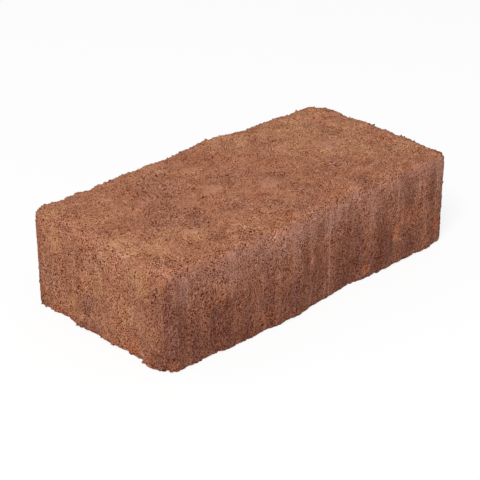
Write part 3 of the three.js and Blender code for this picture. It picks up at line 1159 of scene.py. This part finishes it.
        # Painted shade at the left end's foot.
        bloom_and_shade += at.left * share.left_foot_shade * fading_share(z, *zones.left_foot)
        bloom_and_shade += at.face * share.bloom_face * dark_face
        # Painted shade on the upper arris.
        bloom_and_shade += share.worn_arris_shade * at.worn

        rust = at.front * cover_of(RUST_ON_FRONT, x, z) + at.left * cover_of(RUST_ON_LEFT, y, z)
        patchy = share.rust_foot + share.rust_foot_wander * smooth_share(wander, -0.2, 0.5)
        patchy *= at.side * fading_share(z, *zones.rusty_foot)
        rust += patchy * (1.0 - share.rust_spares_front * at.front)
        rust += at.left * share.rust_low_left * low_left
        rust *= 1.0 - share.rust_spares_dark * at.left * np.clip(dark_left, 0.0, 1.0)

        tan = at.face * cover_of(TAN_ON_FACE, stray_x, stray_y)
        tan *= 1.0 - share.tan_spares_smooth * self._smooth
        tan += at.left * cover_of(TAN_ON_LEFT, stray_y, stray_z)
        tan += at.front * cover_of(TAN_ON_FRONT, x, z)
        far_tan = smooth_share(self._noise.waves(Waves.FAR_TAN), 0.1, 0.6)
        tan += at.hidden * share.tan_hidden * far_tan
        tan += share.tan_off_front * (1.0 - at.front)

        paste = share.paste_front * smooth_share(z, *zones.pasty_front) + share.paste_bare * bare
        paste = at.front * paste + share.paste_worn * at.worn
        paste += at.face * share.paste_smooth * self._smooth

        torn = cover_of(TORN_PATCHES, stray_x, stray_y)
        opened = at.face * np.maximum(dark_face, torn) + at.left * share.open_left * dark_left
        wander = share.open_wander * self._noise.waves(Waves.OPEN_SKIN)
        opened += wander * (share.open_least + opened)

        colours = (Mark.BLOOM, Mark.RUST, Mark.TAN, Mark.PASTE, Mark.OPEN)
        for mark, values in zip(colours, (bloom_and_shade, rust, tan, paste, opened)):
            self.marks[mark] = np.clip(values, 0.0, 1.0)


class NodeBench:
    """Lays out the shader nodes of a material or of the world."""

    BACKDROP_RAYS = ("Is Camera Ray", "Is Glossy Ray", "Is Transmission Ray")

    def __init__(self, owner: bpy.types.Material | bpy.types.World, output: str) -> None:
        """Clear the owner's nodes and lay out its output.

        Args:
            owner: The material or world.
            output: The output node's type.
        """
        owner.use_nodes = True
        self._tree = owner.node_tree
        self._tree.nodes.clear()
        self._output = self.add(output)

    def add(
        self, kind: str, inputs: dict[str | int, object] | None = None, **settings: object
    ) -> bpy.types.Node:
        """Add one node.

        Args:
            kind: The node's type.
            inputs: Fixed values or outputs for its inputs, by their names or numbers.
            settings: Its properties.

        Returns:
            The node.
        """
        node = self._tree.nodes.new(kind)
        for name, value in settings.items():
            setattr(node, name, value)
        for name, value in (inputs or {}).items():
            self._feed(node.inputs[name], value)
        return node

    def _feed(self, socket: bpy.types.NodeSocket, value: object) -> None:
        """Give an input a fixed value, or link an output to it.

        Args:
            socket: The input.
            value: A number, a colour, a name or an output.
        """
        if isinstance(value, bpy.types.NodeSocket):
            self._tree.links.new(value, socket)
        elif isinstance(value, tuple) and len(value) == 3 and len(socket.default_value) == 4:
            socket.default_value = (*value, 1.0)
        else:
            socket.default_value = value

    def finish(self, surface: bpy.types.Node) -> None:
        """Lead a shader to the output."""
        self._feed(self._output.inputs["Surface"], surface.outputs[0])

    def calculate(self, operation: str, *values: object) -> bpy.types.NodeSocket:
        """Join values by one operation, from the first on.

        Args:
            operation: The operation's name.
            values: Numbers or outputs.

        Returns:
            The result.
        """
        result = values[0]
        for value in values[1:]:
            inputs = {0: result, 1: value}
            result = self.add("ShaderNodeMath", inputs, operation=operation).outputs[0]
        return result

    def times(self, *values: object) -> bpy.types.NodeSocket:
        """Multiply values."""
        return self.calculate("MULTIPLY", *values)

    def weigh(self, *shares: tuple[object, float]) -> bpy.types.NodeSocket:
        """Add up values, each times its own weight.

        Args:
            shares: Pairs of a value and its weight.

        Returns:
            The sum.
        """
        total: object = 0.0
        for value, weight in shares:
            inputs = {0: value, 1: weight, 2: total}
            total = self.add("ShaderNodeMath", inputs, operation="MULTIPLY_ADD").outputs[0]
        return total

    def remap(
        self, value: object, low: float, high: float, start: float = 0.0, end: float = 1.0
    ) -> bpy.types.NodeSocket:
        """Ease a value from one range into another.

        Args:
            value: The value.
            low: Where the result is start.
            high: Where the result is end.
            start: The result at low and below.
            end: The result at high and above.

        Returns:
            The result.
        """
        inputs = dict(enumerate((value, low, high, start, end)))
        node = self.add("ShaderNodeMapRange", inputs, interpolation_type="SMOOTHSTEP")
        return node.outputs[0]

    def stretch(self, along: float, up: float) -> bpy.types.NodeSocket:
        """Give the stone's own coordinates, scaled.

        Args:
            along: The scale along X and Y.
            up: The scale along Z.

        Returns:
            The coordinates.
        """
        where = self.add("ShaderNodeTexCoord").outputs["Object"]
        inputs = {"Vector": where, "Scale": (along, along, up)}
        return self.add("ShaderNodeMapping", inputs, vector_type="POINT").outputs[0]

    def cloud(
        self, size: float, detail: float = 0.0, rough: float = 0.5,
        along: float = 1.0, up: float = 1.0,
    ) -> bpy.types.NodeSocket:
        """Give smooth noise with features of a given size.

        Args:
            size: The features' size, in metres.
            detail: How many finer layers are added.
            rough: How strong those are.
            along: The scale of the coordinates along X and Y.
            up: The scale of the coordinates along Z.

        Returns:
            The noise, about 0.5.
        """
        inputs = {
            "Vector": self.stretch(along, up), "Scale": 1.0 / size,
            "Detail": detail, "Roughness": rough,
        }
        return self.add("ShaderNodeTexNoise", inputs, noise_dimensions="3D").outputs[0]

    def swell(self, size: float, detail: float) -> bpy.types.NodeSocket:
        """Give smooth noise about 0, with features of a given size and finer layers."""
        return self.calculate("SUBTRACT", self.cloud(size, detail), 0.5)

    def blend(self, share: object, first: object, second: object) -> bpy.types.NodeSocket:
        """Mix two colours.

        Args:
            share: How much of the second colour shows.
            first: A colour or an output.
            second: A colour or an output.

        Returns:
            The mixed colour.
        """
        inputs = {"Factor": share, 6: first, 7: second}
        return self.add("ShaderNodeMix", inputs, data_type="RGBA", blend_type="MIX").outputs[2]

    def mark(self, mark: Mark) -> bpy.types.NodeSocket:
        """Read one of the marks noted on the skin."""
        return self.add("ShaderNodeAttribute", attribute_name=mark.value).outputs["Fac"]

    def by_mark(
        self, mark: Mark, low: float, high: float, start: float, end: float
    ) -> bpy.types.NodeSocket:
        """Ease one of the marks into another range, as remap does with a value."""
        return self.remap(self.mark(mark), low, high, start, end)

    def backdrop(self) -> bpy.types.NodeSocket:
        """Tell the rays that show the backdrop: those of the camera, gloss and glass."""
        path = self.add("ShaderNodeLightPath").outputs
        return self.calculate("MAXIMUM", *(path[ray] for ray in self.BACKDROP_RAYS))


@dataclass(frozen=True)
class ConcreteFinish:
    """Through-coloured concrete: blended pigments, sand grains and open pores.

    The tone lightens or darkens the colour evenly, as the eye sees it. It paints shade into
    the pores, crevices, bitten-out pits and hollows, so that they are darker than the skin
    round them, and makes a dry sand grain paler. A tone pulls red least and blue most, and
    none darkens a channel past deepest_tone.
    """

    brown: Colour = (0.378, 0.1425, 0.0725)
    tan: Colour = (0.505, 0.238, 0.114)
    paste: Colour = (0.428, 0.208, 0.150)
    # The dark pigment's colour, also used for painted shade.
    bloom_and_shade: Colour = (0.158, 0.052, 0.0305)
    rust: Colour = (0.445, 0.128, 0.050)
    seen_gamma: float = 2.2
    tone_pull: Colour = (0.92, 1.0, 1.1)
    deepest_tone: Colour = (0.33, 0.11, 0.03)
    plain_tone: float = 0.036
    blotch: float = 12 * MM
    ragged: float = 4 * MM
    streak: float = 2.2 * MM
    brush: float = 0.62 * MM
    grain: float = 0.58 * MM
    pore: float = 0.68 * MM
    crevice: float = 1.0 * MM
    crevice_area: float = 2.2 * MM
    open_area: float = 5 * MM
    shade: float = 4.5 * MM
    broad_shade: float = 14 * MM
    bump_depth: float = 0.32 * MM
    gloss: float = 0.1

    def _pigment(self, bench: NodeBench, streaks: bpy.types.NodeSocket) -> bpy.types.NodeSocket:
        """Blend the pigments over the stone; the darkest also carries painted shade.

        Args:
            bench: The bench that the nodes are laid out on.
            streaks: The draw marks' tone.

        Returns:
            The blended colour.
        """
        blotches = bench.remap(bench.cloud(self.blotch, 4.0, 0.65), 0.34, 0.66, 0.3, 1.1)
        ragged = bench.cloud(self.ragged, 2.0, 0.6, up=0.3)
        ragged = bench.remap(ragged, 0.3, 0.7, -0.16, 0.16)
        tan = bench.times(bench.mark(Mark.TAN), blotches, 0.86)
        paste = bench.calculate("ADD", bench.mark(Mark.PASTE), bench.times(ragged, 0.5))
        bloom_and_shade = bench.calculate("ADD", bench.mark(Mark.BLOOM), bench.times(streaks, 0.2), ragged)
        rust = bench.calculate("ADD", bench.mark(Mark.RUST), ragged)
        colour = bench.blend(tan, self.brown, self.tan)
        colour = bench.blend(bench.remap(paste, 0.05, 1.05, 0.0, 0.8), colour, self.paste)
        # Dark pigment, and painted shade where the mark carries it.
        colour = bench.blend(bench.remap(bloom_and_shade, -0.05, 1.05, 0.0, 0.95), colour, self.bloom_and_shade)
        return bench.blend(bench.remap(rust, 0.15, 1.0, 0.0, 0.7), colour, self.rust)

    def _hole_depth_and_shade(self, bench: NodeBench, density: bpy.types.NodeSocket) -> bpy.types.NodeSocket:
        """Find the pores and crevices that are too fine for the mesh, which both deepen the bump
        and carry painted shade.

        Args:
            bench: The bench that the nodes are laid out on.
            density: What is added to the noise of the pores; less of it opens more.

        Returns:
            The share of depth, from 0 on sound skin to 1.
        """
        pores = bench.calculate("ADD", bench.cloud(self.pore), density)
        winding = bench.calculate("ABSOLUTE", bench.swell(self.crevice, 1.0), 0.0)
        broken = bench.calculate("SUBTRACT", bench.cloud(self.crevice_area, 1.0), density)
        crevice = bench.times(
            bench.remap(winding, 0.006, 0.030, 1.0, 0.0), bench.remap(broken, 0.52, 0.58)
        )
        return bench.times(
            bench.calculate("MAXIMUM", bench.remap(pores, 0.31, 0.36, 1.0, 0.0), crevice),
            bench.by_mark(Mark.SMOOTH, 0.1, 0.9, 1.0, 0.2),
            bench.by_mark(Mark.SIDE, 0.0, 1.0, 0.9, 1.0),
            bench.by_mark(Mark.BLOOM, 0.15, 0.60, 1.0, 0.15),
        )

    def _sand_and_pit_shade(
        self, bench: NodeBench, fine: bpy.types.NodeSocket, density: bpy.types.NodeSocket
    ) -> bpy.types.NodeSocket:
        """Find the tone of the sand: painted shade where a grain is bitten out, a little paler on
        the grains.

        Args:
            bench: The bench that the nodes are laid out on.
            fine: The noise of the sand grains.
            density: What is added to the noise of the pores.

        Returns:
            The tone.
        """
        return bench.times(
            bench.remap(bench.weigh((fine, 1.0), (density, 0.4)), 0.27, 0.47, -0.72, 0.065),
            bench.times(
                bench.by_mark(Mark.SMOOTH, 0.1, 0.9, 1.0, 0.35),
                bench.by_mark(Mark.BLOOM, 0.2, 0.9, 1.0, 0.72),
                bench.by_mark(Mark.OPEN, 0.0, 1.0, 0.68, 1.5),
            ),
        )

    def _retone(
        self, bench: NodeBench, colour: bpy.types.NodeSocket, tone: bpy.types.NodeSocket
    ) -> bpy.types.NodeSocket:
        """Lighten or darken a colour evenly, as the eye sees it.

        Args:
            bench: The bench that the nodes are laid out on.
            colour: The colour.
            tone: How much is added to the seen value of each channel.

        Returns:
            The toned colour.
        """
        inputs = {"Color": colour, "Gamma": 1.0 / self.seen_gamma}
        seen = bench.add("ShaderNodeGamma", inputs).outputs[0]
        inputs = {0: tone, 1: self.tone_pull, 2: seen}
        moved = bench.add("ShaderNodeVectorMath", inputs, operation="MULTIPLY_ADD").outputs[0]
        inputs = {0: moved, 1: self.deepest_tone}
        kept = bench.add("ShaderNodeVectorMath", inputs, operation="MAXIMUM").outputs[0]
        return bench.add("ShaderNodeGamma", {"Color": kept, "Gamma": self.seen_gamma}).outputs[0]

    def material(self) -> bpy.types.Material:
        """Build the finish.

        Returns:
            The material.
        """
        material = bpy.data.materials.new("concrete_finish")
        bench = NodeBench(material, "ShaderNodeOutputMaterial")
        streaks = bench.remap(bench.cloud(self.streak, 3.0, 0.6, up=0.07), 0.32, 0.68, -0.5, 0.5)
        streaks = bench.times(streaks, bench.mark(Mark.SIDE))
        fine = bench.cloud(self.grain, along=1.15, up=0.9)
        density = bench.remap(bench.cloud(self.open_area, 2.0), 0.35, 0.65, 0.034, -0.034)
        density = bench.weigh((density, 1.0), (bench.mark(Mark.OPEN), -0.05))
        hole_depth_and_shade = self._hole_depth_and_shade(bench, density)
        brushed = bench.remap(bench.cloud(self.brush, 1.0, up=0.3), 0.3, 0.7, -0.5, 0.5)
        # The tone paints shade into bitten-out pits, fine pores, crevices, hollows and open skin,
        # besides random mottling, draw streaks and a plain lift.
        tone = bench.weigh(
            (self._sand_and_pit_shade(bench, fine, density), 1.0),
            (bench.times(brushed, bench.mark(Mark.BLOOM)), 0.12),
            # painted shade in the fine pores and crevices
            (hole_depth_and_shade, -0.19),
            (bench.swell(self.shade, 2.0), 0.06),
            (bench.swell(self.broad_shade, 2.0), 0.09),
            # painted shade in the relief's hollows
            (bench.mark(Mark.HOLLOW), -0.03),
            # painted shade: open skin, with more pores, a little darker
            (bench.mark(Mark.OPEN), -0.015),
            (streaks, 0.06),
            (1.0, self.plain_tone),
        )
        bump = bench.add("ShaderNodeBump", {
            "Strength": 1.0,
            "Distance": self.bump_depth,
            "Height": bench.weigh((fine, 0.8), (hole_depth_and_shade, -0.5), (streaks, 0.4)),
        })
        bench.finish(bench.add("ShaderNodeBsdfPrincipled", {
            "Base Color": self._retone(bench, self._pigment(bench, streaks), tone),
            "Roughness": bench.remap(fine, 0.3, 0.7, 0.98, 0.86),
            "Specular IOR Level": self.gloss,
            "Normal": bump.outputs[0],
        }))
        return material


def add_object(name: str, data: bpy.types.ID) -> bpy.types.Object:
    """Put a mesh, a light or a camera into the scene.

    Args:
        name: The object's name.
        data: The mesh, light or camera.

    Returns:
        The object.
    """
    added = bpy.data.objects.new(name, data)
    bpy.context.scene.collection.objects.link(added)
    return added


@dataclass
class PavingStone:
    """The paving stone: one cast piece of concrete."""

    node: bpy.types.Object
    body: str
    slot: str
    finish: ConcreteFinish = field(default_factory=ConcreteFinish)
    relief: ReliefSizes = field(default_factory=ReliefSizes)

    def build(self) -> bpy.types.Object:
        """Cast, work and dress the stone, and hang it on its body.

        Returns:
            The finished piece.
        """
        low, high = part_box(self.node.name)
        span = high - low
        skin = StoneSkin(CastSolid(self.node), SkinSizes(span.x, span.y, span.z))
        mesh = bpy.data.meshes.new("stone_skin")
        mesh.from_pydata(skin.points.tolist(), [], skin.faces)
        mesh.update()
        normals = np.zeros(len(skin.points) * 3)
        mesh.vertices.foreach_get("normal", normals)
        relief = StoneRelief(skin, normals.reshape(-1, 3), self.relief)
        mesh.vertices.foreach_set("co", relief.work().ravel())
        for mark, values in relief.marks.items():
            layer = mesh.attributes.new(mark.value, "FLOAT", "POINT")
            layer.data.foreach_set("value", values.astype(np.float32))
        self._close(mesh)
        mesh.materials.append(self.finish.material())
        piece = add_object("stone_casting", mesh)
        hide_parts(self.node.name)
        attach(piece, self.body)
        return piece

    @staticmethod
    def _close(mesh: bpy.types.Mesh) -> None:
        """Split the mesh into triangles, face them outward and shade them smoothly.

        Args:
            mesh: The mesh.
        """
        shell = bmesh.new()
        shell.from_mesh(mesh)
        bmesh.ops.triangulate(shell, faces=shell.faces[:])
        bmesh.ops.recalc_face_normals(shell, faces=shell.faces[:])
        for face in shell.faces:
            face.smooth = True
        shell.to_mesh(mesh)
        shell.free()
        mesh.update()


@dataclass(frozen=True)
class StudioFloor:
    """A plain pale floor that keeps a soft shadow and looks white."""

    reach: float = 6.0
    paint: Colour = (0.60, 0.60, 0.60)
    seen_paint: Colour = (0.98, 0.98, 0.98)
    seen_glow: float = 0.80

    def build(self) -> bpy.types.Object:
        """Lay the floor.

        Returns:
            The floor.
        """
        mesh = bpy.data.meshes.new("floor")
        half = self.reach
        corners = [(-half, -half, 0), (half, -half, 0), (half, half, 0), (-half, half, 0)]
        mesh.from_pydata(corners, [], [(0, 1, 2, 3)])
        mesh.update()
        mesh.materials.append(self._paint())
        floor = add_object("studio_floor", mesh)
        return floor

    def _paint(self) -> bpy.types.Material:
        """Mix the floor's paint.

        Returns:
            The material.
        """
        material = bpy.data.materials.new("floor_paint")
        bench = NodeBench(material, "ShaderNodeOutputMaterial")
        seen = bench.backdrop()
        colour = bench.blend(seen, self.paint, self.seen_paint)
        paint = bench.add("ShaderNodeBsdfDiffuse", {"Color": colour})
        glow = bench.add("ShaderNodeEmission", {"Color": WHITE, "Strength": 1.0})
        bench.finish(bench.add("ShaderNodeMixShader", {
            0: bench.times(seen, self.seen_glow),
            1: paint.outputs[0],
            2: glow.outputs[0],
        }))
        return material


def look_back(
    thing: bpy.types.Object, azimuth: float, elevation: float, distance: float, aim: Vector
) -> None:
    """Place a lamp or the camera round the stone, and aim it.

    Args:
        thing: The lamp or the camera.
        azimuth: Degrees round the stone; 0 is in front of it.
        elevation: Degrees above the horizon.
        distance: How far it is from its aim.
        aim: The point that it looks at.
    """
    turn, rise = math.radians(azimuth), math.radians(elevation)
    flat = math.cos(rise)
    back = Vector((math.sin(turn) * flat, -math.cos(turn) * flat, math.sin(rise)))
    thing.location = aim + back * distance
    thing.rotation_mode = "QUATERNION"
    thing.rotation_quaternion = (-back).to_track_quat("-Z", "Y")


@dataclass(frozen=True)
class SoftLamp:
    """One soft studio lamp."""

    name: str
    azimuth: float
    elevation: float
    distance: float
    size: float
    power: float

    def build(self) -> bpy.types.Object:
        """Hang the lamp, aimed at the stone.

        Returns:
            The lamp.
        """
        light = bpy.data.lights.new(self.name, "AREA")
        light.shape = "DISK"
        light.size = self.size
        light.energy = self.power
        lamp = add_object(self.name, light)
        look_back(lamp, self.azimuth, self.elevation, self.distance, Vector())
        return lamp


@dataclass(frozen=True)
class StudioCamera:
    """The camera, aimed at the stone from its front left."""

    azimuth: float = -44.49
    elevation: float = 27.078
    distance: float = 721.66 * MM
    aim: Colour = (-15.705 * MM, -9.698 * MM, 26.0 * MM)
    focal_pixels: float = 1457.7
    frame_pixels: float = 480.0
    sensor: float = 36.0
    nearest: float = 0.01
    farthest: float = 50.0

    def build(self) -> bpy.types.Object:
        """Set up the camera.

        Returns:
            The camera.
        """
        lens = bpy.data.cameras.new("studio_camera")
        lens.sensor_width = self.sensor
        lens.lens = self.focal_pixels / self.frame_pixels * self.sensor
        lens.clip_start = self.nearest
        lens.clip_end = self.farthest
        camera = add_object("studio_camera", lens)
        look_back(camera, self.azimuth, self.elevation, self.distance, Vector(self.aim))
        bpy.context.scene.camera = camera
        return camera


@dataclass(frozen=True)
class StudioSurround:
    """The pale surround: even light for the stone, white for the camera."""

    level: float = 0.38

    def build(self) -> bpy.types.World:
        """Light the surround.

        Returns:
            The world.
        """
        world = bpy.data.worlds.new("studio_surround")
        bench = NodeBench(world, "ShaderNodeOutputWorld")
        inputs = {"Value": bench.backdrop(), "To Min": self.level, "To Max": 1.0}
        strength = bench.add("ShaderNodeMapRange", inputs).outputs[0]
        inputs = {"Color": WHITE, "Strength": strength}
        bench.finish(bench.add("ShaderNodeBackground", inputs))
        bpy.context.scene.world = world
        return world


def main() -> None:
    """Build the stone, then the studio round it."""
    logging.basicConfig(level=logging.INFO, format="%(name)s: %(message)s")
    (body,) = frame["bodies"]
    node = frame["nodes"]["paving_stone"]
    stone = PavingStone(node, body, "concrete").build()
    LOG.info("%s: %d triangles", stone.name, len(stone.data.polygons))
    lamp = SoftLamp("key_lamp", azimuth=-58, elevation=48, distance=3.0, size=1.3, power=78.0)
    for part in (StudioFloor(), lamp, StudioSurround(), StudioCamera()):
        LOG.info("%s is in place", part.build().name)
    bpy.context.scene.view_settings.view_transform = "Standard"
    bpy.context.view_layer.update()


if __name__ == "__main__":
    main()
